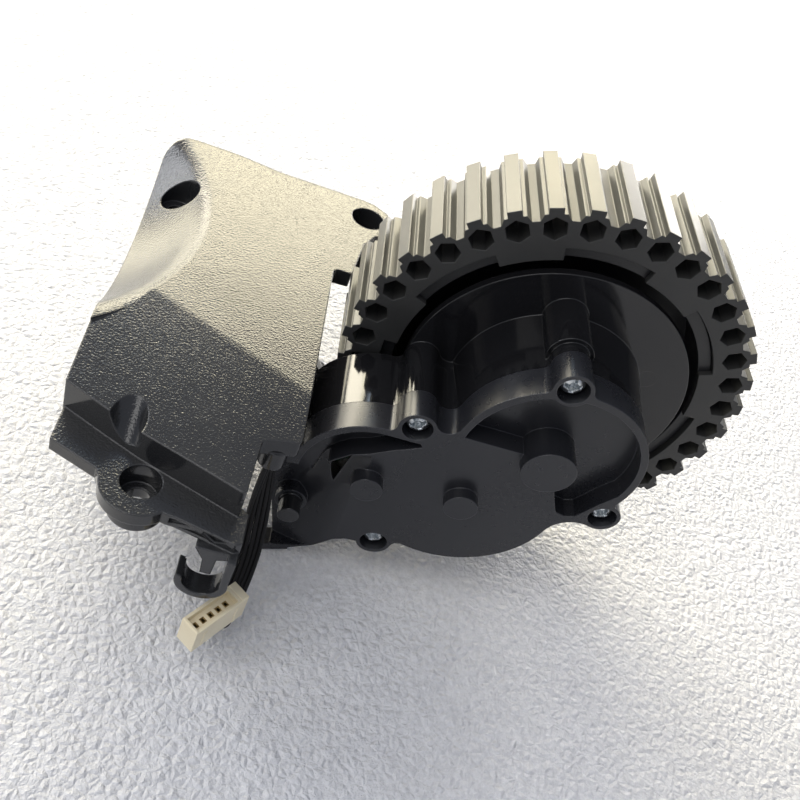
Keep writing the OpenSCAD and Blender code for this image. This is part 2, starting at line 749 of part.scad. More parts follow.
// Round dish around the left screw, open at the left edge of the plate
dish_at = [-99.5, 18];
dish_h = 40;
ridge_r = 36.9;
dish_r = sqrt(dish_h * dish_h + ridge_r * ridge_r);
ridge_run = 1.3;
ridge_slope = 0.42;
module dish_ball(grow) {
    translate([dish_at[0], dish_at[1], plate_z + dish_h]) sphere(r = dish_r + grow, $fn = 160);
}
module dish_skin() {
    intersection() {
        slab_z(plate_z - 13, plate_z - 0.5) intersection() {
            polygon(top_line);
            translate(dish_at) circle(ridge_r + 1.8);
        }
        dish_ball(plate_t - 0.2);
    }
}
module dish_space() {
    dish_ball(0);
    translate(dish_at) rotate_extrude($fn = 160) polygon([
        [30, plate_z + 2], [30, plate_z - ridge_slope * (ridge_r + ridge_run - 30)],
        [ridge_r + ridge_run + 2 / ridge_slope, plate_z + 2]]);
}

boss_under_r = 4.3;
module flange() {
    slab_z(flange_under, flange_z) {
        polygon([
            [left_x + 0.2, -22], [left_x + 0.2, -29.4], [-65.8, -32.5], [-64.5, -35], [-54.6, -37.4],
            [-53.3, -37.5], [-44.3, -39.7], [-43.4, -39.2], [-43.4, -34], [-46, -32.4], [-60.7, -26.5]]);
        translate(front_hole_at) circle(5.95);
    }
    rod_z(boss_under_r, seat_z, flange_under + eps, front_hole_at);
    slab_z(flange_under, plate_z - 4) polygon(concat(bend_line, [
        [wall_end_x, -25.4], [wall_end_x - 2.2, -25.4], [wall_end_x - 2.2, -31.6], [-53, -29.3],
        [-61.6, -26], [-67.8, -23], [-71, -21.4], [-71, -18], [left_x, -18]]));
}

// Chute that runs down through the edge of the front strip to the spring
chute_r = 2.7;
chute_slope = 42;
module spring_chute() {
    translate([-63.5, -26.9, -4.9]) rotate([90 + chute_slope, 0, 0]) translate([0, 0, -8])
        cylinder(r = chute_r, h = 11.6);
}

// Pockets in the front edge of the flange
module edge_pockets() {
    translate([-54.4, -37.4, 0]) rotate([0, 0, -12.1]) translate([0, 0.6, 0]) rotate([90, 0, 0])
        linear_extrude(3) {
            polygon([[0.3, flange_z - 0.5], [3.6, flange_z - 0.5], [0.3, flange_under + 0.5]]);
            polygon([[1.4, flange_under + 0.5], [4.6, flange_z - 0.9], [6.6, flange_under + 0.6]]);
            polygon([[5.6, flange_z - 0.5], [9, flange_z - 0.5], [7.4, flange_under + 0.9]]);
        }
}

// Hook that guides the wires, a ring open at the upper left with a tongue inside it
hook_at = [-47.4, -19];
hook_r = 3.9;
hook_wall = 1.1;
hook_y0 = -41.6;
hook_y1 = -38.2;
module wire_hook() {
    along_y(hook_y0, hook_y1) {
        translate(hook_at) difference() {
            circle(hook_r);
            circle(hook_r - hook_wall);
            polygon([[-0.4, 0], [-2.5, 9], polar(12, 165)]);
            translate([-3, 0.3]) square([5.7, 9]);
        }
        polygon([[-44.8, flange_under + 0.4], [-44.7, -19.2], [-43.6, -18.6], [-43.5, flange_under + 0.4]]);
    }
    along_y(hook_y0 + 1.4, hook_y1 + 1) polygon([[-49.6, flange_under + 0.4], [-48.2, -15], [-48, -18.3],
        [-46.4, -18.3], [-46.2, -14.5], [-44, -13.8], [-44, flange_under + 0.4]]);
}

// Walls under the plate, out of sight in the robot. The front one ends below the sloping strip
skirt_t = 2.2;
skirt_front_y = -20;
skirt_back_y = 38.6;
inner_wall_x = -49.2;
module skirt() {
    slab_z(skirt_z, plate_under - 0.6) {
        translate([left_x, skirt_front_y]) square([inner_wall_x + skirt_t - left_x, skirt_t]);
        translate([inner_wall_x, skirt_front_y]) square([skirt_t, 12]);
    }
    slab_z(skirt_z, plate_under + eps) {
        translate([left_x, skirt_front_y]) square([skirt_t, skirt_back_y - skirt_front_y]);
        translate([inner_wall_x, -9]) square([skirt_t, skirt_back_y + 9]);
        translate([inner_wall_x, tube_y0]) square([9.4, skirt_t]);
        translate([left_x, skirt_back_y]) square([inner_wall_x + skirt_t - left_x, skirt_t]);
    }
    slab_z(rear_seat_z + 2, plate_under + eps) translate([inner_wall_x + 1, right_hole_at[1] - 1])
        square([right_hole_at[0] - inner_wall_x - 5, 2]);
}

// Tube that holds the hinge pin, on two webs from the skirt
tube_r = 4.6;
tube_y0 = -0.4;
tube_y1 = 14;
module pin_tube() {
    rod_y(tube_r, tube_y0, tube_y1, pivot_at);
    for (y = [0.6, 9]) along_y(y, y + 2.4) polygon([
        [-47.4, plate_under - 0.1], [-40.6, plate_under - 0.1], [-40, -14], [-31.4, -25.4], [-35.6, -31.2],
        [-47.4, -26]]);
}

// Deep wells for the two rear mounting screws
well_r = 3.25;
well_wall = 1.8;
module rear_well(at, top_z) {
    rod_z(well_r + well_wall, rear_seat_z, top_z, at);
}
module rear_well_bore(at) {
    rod_z(well_r, rear_seat_z + 3, 5, at);
    rod_z(screw_hole_r, rear_seat_z - 1, 5, at);
}

guide_r = 2.2;
module bracket_frame() {
    color("#202124") difference() {
        union() {
            plate();
            dish_skin();
            flange();
            wire_hook();
            skirt();
            pin_tube();
            rear_well(left_hole_at, plate_under);
            rear_well(right_hole_at, plate_under + eps);
            rod_z(guide_r, cable_top[2], plate_under - 0.5, [cable_top[0], cable_top[1]]);
            rod_y(1.3, -18.2, -2.2, spring_post_at);
        }
        rod_z(screw_hole_r, seat_z - 1, 0, front_hole_at);
        rod_z(head_well_r, seat_z + 2.2, 0, front_hole_at);
        dish_space();
        spring_chute();
        rear_well_bore(left_hole_at);
        rear_well_bore(right_hole_at);
        rod_y(pivot_r + 0.01, tube_y0 - 1, tube_y1 + 1, pivot_at);
        translate([-52, -10, -19]) cube([6, 8, 10]);
        edge_pockets();
    }
}

place() {
    bracket_frame();
    pivot_pin();
    pivot_clip();
    suspension_spring();
    cable();
    plug_housing();
    plug_contacts();
    gearbox_cover();
    gearbox_housing();
    gearbox_screws();
    motor_can();
    motor_end_cap();
    motor_terminals();
    idler_shaft();
    front_bush();
    rear_bush();
    encoder_board();
    motor_shaft();
    motor_pinion();
    encoder_magnet();
    idler_gear();
    axle_shaft();
    output_gear();
    wheel_rim();
    tyre();
    wheel_washer();
    wheel_screw();
}
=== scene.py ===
import math

import bmesh
import bpy
from mathutils import Matrix, Vector


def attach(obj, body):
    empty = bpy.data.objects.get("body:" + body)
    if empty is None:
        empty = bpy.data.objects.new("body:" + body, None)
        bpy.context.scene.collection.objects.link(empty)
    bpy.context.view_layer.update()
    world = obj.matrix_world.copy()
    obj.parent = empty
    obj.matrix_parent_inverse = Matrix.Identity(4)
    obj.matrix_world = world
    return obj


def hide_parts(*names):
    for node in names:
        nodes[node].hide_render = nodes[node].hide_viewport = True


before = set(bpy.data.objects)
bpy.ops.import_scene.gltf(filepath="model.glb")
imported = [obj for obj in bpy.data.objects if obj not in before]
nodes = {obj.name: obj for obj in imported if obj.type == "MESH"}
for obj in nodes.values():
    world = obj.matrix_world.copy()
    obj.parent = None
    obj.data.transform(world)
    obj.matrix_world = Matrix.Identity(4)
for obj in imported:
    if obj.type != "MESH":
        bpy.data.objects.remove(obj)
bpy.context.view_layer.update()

MM = 0.001
TAU = 2 * math.pi
WIRE_SIDES = 12

# The source is drawn about the wheel centre, and the row frame sits at the front screw seat
DATUM = Vector((59.3, 32.9, 16.7))


def at(x, y, z):
    """A point of the drawing, given from the wheel centre in millimetres, in the row frame."""
    return (Vector((x, y, z)) + DATUM) * MM


def link(obj):
    bpy.context.scene.collection.objects.link(obj)
    return obj


# Camera, at the photograph's place and angle
CAMERA_AT = at(-52.67, -113.87, 96.62)
CAMERA_FORWARD = (0.194, 0.708, -0.680)
CAMERA_RIGHT = (0.944, 0.055, 0.326)
LENS = 40.79
SENSOR = 36.0
cam_data = bpy.data.cameras.new("camera")
cam_data.lens = LENS
cam_data.sensor_width = SENSOR
cam_data.clip_start = 0.005
cam = link(bpy.data.objects.new("camera", cam_data))
forward = Vector(CAMERA_FORWARD).normalized()
right = Vector(CAMERA_RIGHT)
right = (right - right.dot(forward) * forward).normalized()
turn = Matrix((right, right.cross(forward), -forward)).transposed()
cam.matrix_world = Matrix.Translation(CAMERA_AT) @ turn.to_4x4()
bpy.context.scene.camera = cam


def piece(name, verts, faces, material, slot, body, smooth=35):
    """A new object from points and faces, shaded smooth up to an angle, on its body. The slot is
    not used.
    """
    mesh = bpy.data.meshes.new(name)
    mesh.from_pydata([tuple(v) for v in verts], [], faces)
    mesh.validate()
    bm = bmesh.new()
    bm.from_mesh(mesh)
    bmesh.ops.recalc_face_normals(bm, faces=bm.faces)
    for face in bm.faces:
        face.smooth = True
    for edge in bm.edges:
        if len(edge.link_faces) == 2 and edge.calc_face_angle() > math.radians(smooth):
            edge.smooth = False
    bm.to_mesh(mesh)
    bm.free()
    mesh.materials.append(material)
    obj = link(bpy.data.objects.new(name, mesh))
    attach(obj, body)
    return obj


def smooth_route(points, per_span):
    """Points of a smooth curve through a list of vectors, per_span of them on each span."""
    out = []
    pts = [points[0]] + list(points) + [points[-1]]
    for i in range(1, len(pts) - 2):
        p0, p1, p2, p3 = pts[i - 1], pts[i], pts[i + 1], pts[i + 2]
        for k in range(per_span):
            t = k / per_span
            out.append(0.5 * (2 * p1 + (p2 - p0) * t + (2 * p0 - 5 * p1 + 4 * p2 - p3) * t * t
                              + (3 * p1 - p0 - 3 * p2 + p3) * t ** 3))
    out.append(points[-1])
    return out


def direction(points, i):
    """Direction of a route at its point i."""
    return (points[min(i + 1, len(points) - 1)] - points[max(i - 1, 0)]).normalized()


def swept(points, radius, sides):
    """Points and faces of a closed round wire along a route."""
    verts, faces = [], []
    u = None
    for i, p in enumerate(points):
        along = direction(points, i)
        u = along.orthogonal() if u is None else u
        u = (u - u.dot(along) * along).normalized()
        v = along.cross(u)
        for k in range(sides):
            a = TAU * k / sides
            verts.append(p + radius * (math.cos(a) * u + math.sin(a) * v))
    for i in range(len(points) - 1):
        for k in range(sides):
            n = (k + 1) % sides
            faces.append((i * sides + k, i * sides + n, (i + 1) * sides + n, (i + 1) * sides + k))
    faces.append(tuple(reversed(range(sides))))
    faces.append(tuple(range((len(points) - 1) * sides, len(points) * sides)))
    return verts, faces


def joined(parts):
    """Several lists of points and faces as one."""
    verts, faces = [], []
    for v, f in parts:
        base = len(verts)
        verts += v
        faces += [tuple(i + base for i in face) for face in f]
    return verts, faces


# Materials. Radii and depths are in metres, and the fineness of noise is per metre
EDGE_TURN = (0.02, 0.3)
WORN_REACH = 1.6
WORN_PALER = 3.2
UPWARD = (0.45, 0.8)
GRAIN_FINENESS = 3000.0
PIT_FINENESS = 3200.0
PIT_SHARE = 0.5
GRAIN_ROUGH = 0.02
GRAIN_STRENGTH = 0.8
WALL_GRAIN = 0.05
GRAIN_DEPTH = 0.065 * MM
WHEEL_CENTRE = at(0, 0, 0)
TREAD_FROM = (32.6 * MM, 33.8 * MM)
SIDEWAYS = (0.5, 0.8)
TREAD_POLISH = 0.2
SCUFF_STRETCH = (1.0, 0.12, 1.0)
EJECTOR_AT = at(15.2, 0, 8.6)
EJECTOR_R = 1.8 * MM
MARK_LINE = 0.1 * MM
# Floor tones: the darker one is painted shade in the hollows of the crinkle, the lighter one its
# lit raised places
FLOOR_SHADED = (0.60, 0.60, 0.62)
FLOOR_LIT = (0.83, 0.83, 0.85)
CREASE_FINENESS = 620.0
CREASE_SHARE = 1.2


class Mat:
    """A node material under construction. Lengths in it are in metres."""

    def __init__(self, name):
        self.data = bpy.data.materials.new(name)
        self.data.use_nodes = True
        self.tree = self.data.node_tree
        self.shader = self.tree.nodes["Principled BSDF"]
        coord = self.add("ShaderNodeTexCoord")
        self.place = coord.outputs["Object"]
        self.facing = coord.outputs["Normal"]

    def add(self, kind, **settings):
        node = self.tree.nodes.new(kind)
        for key, value in settings.items():
            setattr(node, key, value)
        return node

    def join(self, source, socket):
        self.tree.links.new(source, socket)

    def fixed(self, socket, value):
        self.shader.inputs[socket].default_value = value

    def to(self, socket, source):
        self.join(source, self.shader.inputs[socket])

    def noise(self, scale, detail=3.0, rough=0.5, stretch=None):
        node = self.add("ShaderNodeTexNoise")
        node.inputs["Scale"].default_value = scale
        node.inputs["Detail"].default_value = detail
        node.inputs["Roughness"].default_value = rough
        self.join(self.stretched(stretch), node.inputs["Vector"])
        return node.outputs["Fac"]

    def stretched(self, stretch):
        if stretch is None:
            return self.place
        node = self.add("ShaderNodeMapping")
        node.inputs["Scale"].default_value = stretch
        self.join(self.place, node.inputs["Vector"])
        return node.outputs["Vector"]

    def cells(self, scale, feature):
        node = self.add("ShaderNodeTexVoronoi", feature=feature)
        node.inputs["Scale"].default_value = scale
        self.join(self.place, node.inputs["Vector"])
        return node.outputs["Distance"]

    def math(self, operation, a, b=None, clamp=False):
        node = self.add("ShaderNodeMath", operation=operation, use_clamp=clamp)
        for i, value in enumerate((a, b)):
            if value is None:
                continue
            if isinstance(value, (int, float)):
                node.inputs[i].default_value = value
            else:
                self.join(value, node.inputs[i])
        return node.outputs[0]

    def part(self, vector, axis):
        node = self.add("ShaderNodeSeparateXYZ")
        self.join(vector, node.inputs[0])
        return node.outputs[axis]

    def step(self, value, low, high, to_low=0.0, to_high=1.0):
        """A soft step: to_low below low, to_high above high."""
        node = self.add("ShaderNodeMapRange", interpolation_type="SMOOTHSTEP")
        for key, number in (("From Min", low), ("From Max", high), ("To Min", to_low),
                            ("To Max", to_high)):
            node.inputs[key].default_value = number
        self.join(value, node.inputs["Value"])
        return node.outputs["Result"]

    def remap(self, value, low, high):
        node = self.add("ShaderNodeMapRange")
        node.inputs["To Min"].default_value = low
        node.inputs["To Max"].default_value = high
        self.join(value, node.inputs["Value"])
        return node.outputs["Result"]

    def tones(self, value, dark, light, low=0.3, high=0.72):
        """Dark where the value is under low, light where it is over high."""
        node = self.add("ShaderNodeValToRGB")
        for element, pos, colour in zip(node.color_ramp.elements, (low, high), (dark, light)):
            element.position = pos
            element.color = (*colour, 1)
        self.join(value, node.inputs["Fac"])
        return node.outputs["Color"]

    def blend(self, factor, a, b):
        node = self.add("ShaderNodeMix", data_type="RGBA")
        self.join(factor, node.inputs["Factor"])
        for socket, value in ((node.inputs[6], a), (node.inputs[7], b)):
            if isinstance(value, tuple):
                socket.default_value = (*value, 1)
            else:
                self.join(value, socket)
        return node.outputs[2]

    def round_edges(self, radius):
        node = self.add("ShaderNodeBevel", samples=6)
        node.inputs["Radius"].default_value = radius
        return node.outputs["Normal"]

    def edge_mask(self, radius):
        """1 on outer and inner edges, 0 on the faces between them."""
        soft = self.add("ShaderNodeBevel", samples=4)
        soft.inputs["Radius"].default_value = radius
        flat = self.add("ShaderNodeNewGeometry")
        dot = self.add("ShaderNodeVectorMath", operation="DOT_PRODUCT")
        self.join(soft.outputs["Normal"], dot.inputs[0])
        self.join(flat.outputs["Normal"], dot.inputs[1])
        return self.step(self.math("SUBTRACT", 1.0, dot.outputs["Value"]), *EDGE_TURN)

    def worn_colour(self, tone, radius, amount, worn):
        """The base colour: the tone, and along the edges an amount of the worn colour."""
        edge = self.math("MULTIPLY", self.edge_mask(radius), amount)
        self.to("Base Color", self.blend(edge, tone, worn))

    def bump(self, height, strength, distance, after=None):
        node = self.add("ShaderNodeBump")
        node.inputs["Distance"].default_value = distance
        if isinstance(strength, (int, float)):
            node.inputs["Strength"].default_value = strength
        else:
            self.join(strength, node.inputs["Strength"])
        self.join(height, node.inputs["Height"])
        if after is not None:
            self.join(after, node.inputs["Normal"])
        return node.outputs["Normal"]

    def radius_about(self, centre):
        """Distance from a line along Y through the centre."""
        squares = []
        for axis in (0, 2):
            away = self.math("SUBTRACT", self.part(self.place, axis), centre[axis])
            squares.append(self.math("MULTIPLY", away, away))
        return self.math("SQRT", self.math("ADD", *squares))


def satin_plastic(name, dark, light, rough, specular, edge_r, wear, fine=4200.0, depth=0.01 * MM):
    """Smooth moulded plastic: cloudy tone, faint pits, rounded edges and, by wear, paler ones."""
    m = Mat(name)
    cloud = m.noise(70.0, 4.0, 0.55)
    worn = tuple(WORN_PALER * c for c in light)
    m.worn_colour(m.tones(cloud, dark, light), WORN_REACH * edge_r, wear, worn)
    haze = m.math("MULTIPLY", cloud, 0.6)
    spots = m.math("MULTIPLY", m.noise(900.0, 2.0), 0.4)
    m.to("Roughness", m.remap(m.math("ADD", haze, spots), *rough))
    m.fixed("Specular IOR Level", specular)
    pits = m.bump(m.noise(fine, 3.0, 0.6), 0.6, depth, m.round_edges(edge_r))
    m.to("Normal", m.bump(m.noise(160.0, 2.0), 0.25, 0.03 * MM, pits))
    return m.data


def metal(name, dark, light, rough, stretch=None):
    """Metal with fine drawn or ground marks."""
    m = Mat(name)
    marks = m.noise(400.0, 4.0, 0.6, stretch)
    m.to("Base Color", m.tones(marks, dark, light, high=0.7))
    m.to("Roughness", m.remap(marks, *rough))
    m.fixed("Metallic", 1.0)
    m.to("Normal", m.bump(marks, 0.25, 0.01 * MM, m.round_edges(0.08 * MM)))
    return m.data


def grained_bracket():
    """Spark eroded grain on the upward faces, plain plastic on the walls, and worn edges."""
    m = Mat("bracket_plastic")
    cloud = m.noise(55.0, 4.0, 0.55)
    tone = m.tones(cloud, (0.016, 0.0165, 0.018), (0.024, 0.0245, 0.026))
    m.worn_colour(tone, 0.6 * MM, 0.5, (0.07, 0.07, 0.072))
    height = m.part(m.facing, 2)
    rougher = m.math("MULTIPLY", m.step(height, *UPWARD), GRAIN_ROUGH)
    m.to("Roughness", m.math("ADD", rougher, m.remap(cloud, 0.11, 0.17)))
    m.fixed("Specular IOR Level", 0.62)
    worms = m.noise(GRAIN_FINENESS, 2.0, 0.5)
    pits = m.math("MULTIPLY", m.cells(PIT_FINENESS, "SMOOTH_F1"), PIT_SHARE)
    strength = m.step(height, *UPWARD, WALL_GRAIN, GRAIN_STRENGTH)
    grain = m.bump(m.math("ADD", worms, pits), strength, GRAIN_DEPTH, m.round_edges(0.4 * MM))
    m.to("Normal", m.bump(m.noise(120.0, 2.0), 0.2, 0.05 * MM, grain))
    return m.data


def rubber():
    """Tyre rubber: the tread is polished and painted lighter, partly as dust and partly as painted
    sheen, and the side faces are matt.
    """
    m = Mat("tyre_rubber")
    tread = m.step(m.radius_about(WHEEL_CENTRE), *TREAD_FROM)
    side = m.step(m.math("ABSOLUTE", m.part(m.facing, 1)), *SIDEWAYS)
    outer = m.math("MULTIPLY", tread, m.math("SUBTRACT", 1.0, side), clamp=True)
    cloud = m.noise(140.0, 4.0, 0.6)
    dull = m.tones(cloud, (0.017, 0.017, 0.0165), (0.026, 0.026, 0.025))
    # Lighter tread tone: partly dust, and partly painted sheen that stands in for reflected light
    # on the lug tops
    dust_and_sheen = m.tones(cloud, (0.05, 0.049, 0.041), (0.075, 0.073, 0.062))
    m.worn_colour(m.blend(outer, dull, dust_and_sheen), 0.3 * MM, 0.35, (0.09, 0.088, 0.08))
    polish = m.math("MULTIPLY", outer, TREAD_POLISH)
    m.to("Roughness", m.math("SUBTRACT", m.remap(cloud, 0.46, 0.58), polish))
    m.fixed("Specular IOR Level", 0.6)
    grit = m.bump(m.noise(5200.0, 3.0, 0.6), 0.5, 0.01 * MM, m.round_edges(0.2 * MM))
    scuff = m.noise(900.0, 3.0, 0.6, SCUFF_STRETCH)
    m.to("Normal", m.bump(scuff, 0.3, 0.02 * MM, grit))
    return m.data


def gloss_housing():
    """High gloss black shell with a round ejector mark on the disc and faint flow waves."""
    m = Mat("housing_plastic")
    cloud = m.noise(60.0, 3.0)
    tone = m.tones(cloud, (0.007, 0.007, 0.008), (0.011, 0.011, 0.012))
    m.worn_colour(tone, 0.4 * MM, 0.4, (0.05, 0.05, 0.05))
    smear = m.noise(500.0, 5.0, 0.65)
    m.to("Roughness", m.remap(smear, 0.04, 0.15))
    m.fixed("Specular IOR Level", 0.55)
    mark = m.radius_about(EJECTOR_AT)
    rise = m.step(mark, EJECTOR_R - MARK_LINE, EJECTOR_R)
    fall = m.step(mark, EJECTOR_R, EJECTOR_R + MARK_LINE, 1.0, 0.0)
    waves = m.bump(m.noise(90.0, 2.0), 0.35, 0.06 * MM, m.round_edges(0.25 * MM))
    m.to("Normal", m.bump(m.math("MULTIPLY", rise, fall), 0.5, 0.05 * MM, waves))
    return m.data


def foam():
    """Pale crinkled foam sheet, its tone painted darker in the low places of the fine crinkle as
    painted shade.
    """
    m = Mat("foam_sheet")
    fine = m.noise(1000.0, 4.0, 0.65)
    broad = m.noise(330.0, 3.0, 0.55)
    # Painted shade: the tone follows the fine crinkle's height, darker in its hollows
    m.to("Base Color", m.tones(fine, FLOOR_SHADED, FLOOR_LIT, 0.25, 0.75))
    m.to("Roughness", m.remap(broad, 0.22, 0.5))
    m.fixed("Specular IOR Level", 0.5)
    creases = m.math("MULTIPLY", m.cells(CREASE_FINENESS, "DISTANCE_TO_EDGE"), CREASE_SHARE)
    crinkle = m.bump(m.math("ADD", fine, creases), 1.0, 0.5 * MM)
    m.to("Normal", m.bump(broad, 0.7, 0.9 * MM, crinkle))
    return m.data


# Plastics: dark, light, roughness, specular level, edge radius, wear, fineness and depth of pits
bracket_mat = grained_bracket()
cover_mat = satin_plastic("cover_plastic", (0.0125, 0.013, 0.016), (0.0175, 0.018, 0.021),
                          (0.24, 0.32), 0.55, 0.25 * MM, 0.5, 3000.0, 0.004 * MM)
housing_mat = gloss_housing()
tyre_mat = rubber()
rim_mat = satin_plastic("rim_plastic", (0.012, 0.012, 0.013), (0.018, 0.018, 0.019),
                        (0.3, 0.42), 0.5, 0.2 * MM, 0.4)
wire_mat = satin_plastic("wire_skin", (0.0035, 0.0035, 0.004), (0.006, 0.006, 0.0065),
                         (0.5, 0.62), 0.28, 0.05 * MM, 0.0, 2500.0)
plug_mat = satin_plastic("plug_nylon", (0.80, 0.69, 0.47), (0.92, 0.84, 0.63),
                         (0.35, 0.5), 0.5, 0.12 * MM, 0.1, 1500.0)
gear_mat = satin_plastic("gear_plastic", (0.66, 0.62, 0.5), (0.76, 0.73, 0.62),
                         (0.35, 0.5), 0.5, 0.1 * MM, 0.0, 2000.0)
board_mat = satin_plastic("board_mask", (0.02, 0.12, 0.05), (0.03, 0.17, 0.07),
                          (0.25, 0.4), 0.5, 0.05 * MM, 0.0, 2000.0)
magnet_mat = satin_plastic("magnet_ferrite", (0.05, 0.05, 0.055), (0.09, 0.09, 0.1),
                           (0.4, 0.6), 0.5, 0.1 * MM, 0.2, 2000.0)
pin_mat = satin_plastic("black_steel", (0.01, 0.01, 0.011), (0.02, 0.02, 0.021),
                        (0.18, 0.3), 0.7, 0.2 * MM, 0.6, 3000.0)

# Metals: dark and light tone, roughness, and the stretch of the marks
zinc_mat = metal("zinc_steel", (0.5, 0.54, 0.56), (0.74, 0.76, 0.77), (0.2, 0.36))
shaft_mat = metal("shaft_steel", (0.5, 0.5, 0.51), (0.66, 0.66, 0.67), (0.15, 0.3), (1, 0.1, 1))
spring_mat = metal("spring_steel", (0.34, 0.35, 0.37), (0.5, 0.51, 0.53), (0.25, 0.4))
bronze_mat = metal("sintered_bronze", (0.38, 0.27, 0.12), (0.52, 0.38, 0.19), (0.35, 0.55))
contact_mat = metal("contact_metal", (0.45, 0.3, 0.12), (0.6, 0.44, 0.2), (0.25, 0.4))

LOOKS = {
    "bracket_frame": bracket_mat, "pivot_pin": pin_mat, "pivot_clip": spring_mat,
    "suspension_spring": spring_mat, "cable": wire_mat, "plug_housing": plug_mat,
    "plug_contacts": contact_mat, "gearbox_cover": cover_mat, "gearbox_housing": housing_mat,
    "gearbox_screws": zinc_mat, "motor_can": shaft_mat, "motor_end_cap": gear_mat,
    "motor_terminals": contact_mat, "idler_shaft": shaft_mat, "front_bush": bronze_mat,
    "rear_bush": bronze_mat, "encoder_board": board_mat, "motor_shaft": shaft_mat,
    "motor_pinion": bronze_mat, "encoder_magnet": magnet_mat, "idler_gear": gear_mat,
    "axle_shaft": shaft_mat, "output_gear": gear_mat, "wheel_rim": rim_mat, "tyre": tyre_mat,
    "wheel_washer": zinc_mat, "wheel_screw": zinc_mat,
}

# Cable: five thin wires side by side along the route of the source, fanned out at the plug
ROUTE = [(-41.9, -22.9, -10.4), (-41.8, -23, -14), (-41.5, -23.3, -18), (-41.1, -23.9, -22),
         (-40.7, -24.9, -26), (-40.4, -26.5, -29.8), (-40.5, -28.7, -33.2), (-41, -31.4, -35.9),
         (-41.8, -34.5, -37.2), (-42.7, -37.4, -36.8), (-43.5, -39.4, -35.4), (-43.8, -40, -33.7),
         (-43.8, -40, -32.62)]
WIRES = 5
WIRE_R = 0.41 * MM
WIRE_PITCH = 0.80 * MM
FAN_PITCH = 0.70 * MM
FAN_SHIFT = -0.9 * MM
GUIDE_SIDE = Vector((0.35, 0.94, 0.0))
HANGING_SIDE = Vector((1.0, 0.25, 0.0))
TURNED_AT, PLUG_SIDE_FROM, FAN_FROM = 0.38, 0.5, 0.8
WAVER, WAVES, WAVE_STEP = 0.10 * MM, 9, 1.9
PLUG_AT = at(-43.8, -40, -27)
PLUG_TURN = math.radians(51.9)
PLUG_ALONG = Vector((math.cos(PLUG_TURN), math.sin(PLUG_TURN), 0))
PLUG_ACROSS = Vector((-math.sin(PLUG_TURN), math.cos(PLUG_TURN), 0))
PLUG_UP = Vector((0, 0, 1))
route = smooth_route([at(*p) for p in ROUTE], 3)
steps = [0.0]
for before, after in zip(route, route[1:]):
    steps.append(steps[-1] + (after - before).length)
LENGTH = steps[-1]


def share_from(share, start):
    """0 up to the start, and from there evenly up to 1 at the end of the cable."""
    return max(0.0, (share - start) / (1 - start))


def ribbon_frame(share):
    """Direction across the ribbon at a share of its length, and the wires' pitch and shift."""
    side = GUIDE_SIDE.lerp(HANGING_SIDE, min(1.0, share / TURNED_AT))
    side = side.lerp(PLUG_ALONG, share_from(share, PLUG_SIDE_FROM)).normalized()
    fan = share_from(share, FAN_FROM)
    fan = fan * fan * (3 - 2 * fan)
    return side, WIRE_PITCH + FAN_PITCH * fan, FAN_SHIFT * fan


wires = []
for w in range(WIRES):
    line = []
    for i, p in enumerate(route):
        share = steps[i] / LENGTH
        along = direction(route, i)
        across, pitch, shift = ribbon_frame(share)
        across = (across - across.dot(along) * along).normalized()
        lift = along.cross(across) * (WAVER * math.sin(WAVES * share + WAVE_STEP * w))
        line.append(p + across * ((w - WIRES // 2) * pitch + shift) + lift)
    wires.append(swept(smooth_route(line, 2), WIRE_R, WIRE_SIDES))
cable = piece("cable_wires", *joined(wires), wire_mat, "wire_skin", "bracket")
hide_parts("cable")


WELD_WITHIN = 0.004 * MM
FLAT_WITHIN = math.radians(0.4)
ROUNDED_FROM = math.radians(30)
SPLIT_FROM = math.radians(28)


def dress(name, width):
    """Gives a CAD node its material, and edges rounded to a width or kept sharp where it is 0."""
    obj = nodes[name]
    obj.data.materials.clear()
    obj.data.materials.append(LOOKS[name])
    for poly in obj.data.polygons:
        poly.use_smooth = True
    weld = obj.modifiers.new("weld", "WELD")
    weld.merge_threshold = WELD_WITHIN
    if width > 0:
        flat = obj.modifiers.new("flat", "DECIMATE")
        flat.decimate_type = "DISSOLVE"
        flat.angle_limit = FLAT_WITHIN
        edge = obj.modifiers.new("edge", "BEVEL")
        edge.width = width
        edge.segments = 3
        edge.limit_method = "ANGLE"
        edge.angle_limit = ROUNDED_FROM
        edge.harden_normals = False
        edge.use_clamp_overlap = False
    else:
        split = obj.modifiers.new("split", "EDGE_SPLIT")
        split.split_angle = SPLIT_FROM
    even = obj.modifiers.new("even", "WEIGHTED_NORMAL")
    even.mode = "FACE_AREA_WITH_ANGLE" if width > 0 else "FACE_AREA"
    even.keep_sharp = False


ROUNDS = {"tyre": 0.1 * MM, "wheel_rim": 0.15 * MM, "plug_housing": 0.08 * MM,
          "pivot_pin": 0.25 * MM}
for node_name in nodes:
    dress(node_name, ROUNDS.get(node_name, 0.0))


# Cross recessed pan head screws. The recess is given in shares of the head's radius and height
RECESS_REACH, RECESS_HALF, RECESS_DEPTH = 0.72, 0.2, 0.75
ARM_SLOPE, SIDE_SLOPE, ARM_FLOOR = 3.2, 2.4, 0.75
CORE_REACH, CORE_SLOPE = 0.62, 2.0
HEAD_FLAT, DOME_DROP, DOME_POWER = 0.97, 0.32, 2.6
RIM_TOP, RIM_FOOT, FOOT_R = 0.5, 0.12, 0.95
HEAD_RINGS, SPOKES = 22, 64
THREAD_DEPTH, ROWS_PER_TURN = 0.16, 6
TIP = 0.4


